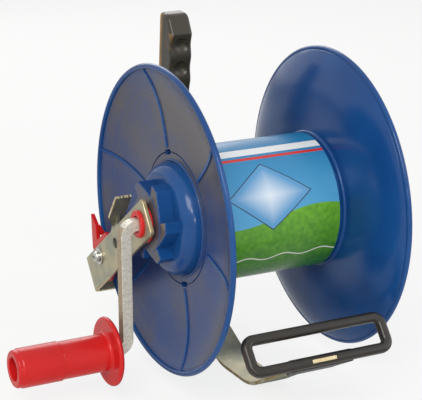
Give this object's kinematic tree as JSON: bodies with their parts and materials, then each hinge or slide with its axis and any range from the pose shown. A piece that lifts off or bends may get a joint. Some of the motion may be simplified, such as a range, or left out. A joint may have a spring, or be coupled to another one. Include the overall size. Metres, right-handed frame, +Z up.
{
  "type": "fence wire reel",
  "caption": "Hand-cranked geared reel for fence wire: a flanged plastic spool in a bent flat-steel frame, with a pistol grip, a wire guide loop and a ratchet latch.",
  "frame": {"origin": "on the flat bottom of the frame's strip, straight below the middle of the spool", "axes": "+X along the spool's axis, away from the crank; +Y towards the pistol grip, away from the wire guide; +Z up"},
  "size_m": [0.3428, 0.3114, 0.3169],
  "materials": {
    "spool_blue": "moulded, glossy",
    "label_film": "printed film, glossy",
    "red_plastic": "moulded, satin",
    "passivated_steel": "zinc plated, yellow passivated",
    "galvanised_steel": "galvanised, dull",
    "bright_zinc": "bright zinc plated",
    "gear_nylon": "moulded, natural",
    "black_plastic": "moulded, satin",
    "grip_plastic": "moulded, satin"
  },
  "bodies": {
    "frame": {"frame_bar": "passivated_steel", "spine_strip": "passivated_steel", "frame_rivet_1": "bright_zinc", "frame_rivet_2": "bright_zinc", "bearing_sleeve": "red_plastic", "ring_gear": "gear_nylon", "far_axle": "bright_zinc", "far_axle_nut": "bright_zinc", "grip_front": "grip_plastic", "grip_back": "grip_plastic", "grip_screw_1": "bright_zinc", "grip_screw_2": "bright_zinc", "wire_guide": "black_plastic", "latch_screw": "bright_zinc", "latch_washer": "bright_zinc", "latch_nut": "bright_zinc"},
    "spool": {"near_flange": "spool_blue", "far_flange": "spool_blue", "drum": "spool_blue", "label_sleeve": "label_film", "gear_cover": "spool_blue", "sun_gear": "gear_nylon", "far_bush": "red_plastic"},
    "crank": {"crank_arm": "galvanised_steel", "planet_carrier": "bright_zinc", "planet_pin_1": "bright_zinc", "planet_pin_2": "bright_zinc", "planet_pin_3": "bright_zinc", "crank_washer": "bright_zinc", "crank_screw": "bright_zinc", "handle_clip": "bright_zinc"},
    "handle": {"crank_handle": "red_plastic"},
    "planet_1": {"planet_gear_1": "gear_nylon"},
    "planet_2": {"planet_gear_2": "gear_nylon"},
    "planet_3": {"planet_gear_3": "gear_nylon"},
    "latch": {"latch_lever": "red_plastic", "latch_pawl": "passivated_steel"}
  },
  "joints": [
    {"name": "spool_spin", "type": "hinge", "parent": "frame", "child": "spool", "pos_m": [0, 0, 0.1595], "axis": [1, 0, 0], "continuous": true},
    {"name": "crank_spin", "type": "hinge", "parent": "frame", "child": "crank", "pos_m": [-0.12, 0, 0.1595], "axis": [1, 0, 0], "continuous": true},
    {"name": "handle_spin", "type": "hinge", "parent": "crank", "child": "handle", "pos_m": [-0.183, 0, 0.045], "axis": [1, 0, 0], "continuous": true},
    {"name": "planet_1_spin", "type": "hinge", "parent": "crank", "child": "planet_1", "pos_m": [-0.07, 0, 0.1865], "axis": [1, 0, 0], "continuous": true},
    {"name": "planet_2_spin", "type": "hinge", "parent": "crank", "child": "planet_2", "pos_m": [-0.07, -0.02338, 0.146], "axis": [1, 0, 0], "continuous": true},
    {"name": "planet_3_spin", "type": "hinge", "parent": "crank", "child": "planet_3", "pos_m": [-0.07, 0.02338, 0.146], "axis": [1, 0, 0], "continuous": true},
    {"name": "latch_swing", "type": "hinge", "parent": "frame", "child": "latch", "pos_m": [-0.099, 0.09094, 0.10253], "axis": [1, 0, 0], "range_deg": [0, 27]}
  ],
  "couplings": [
    {"joint": "crank_spin", "follows": "spool_spin", "ratio": 0.33333},
    {"joint": "planet_1_spin", "follows": "spool_spin", "ratio": -1.3333},
    {"joint": "planet_2_spin", "follows": "spool_spin", "ratio": -1.3333},
    {"joint": "planet_3_spin", "follows": "spool_spin", "ratio": -1.3333}
  ]
}
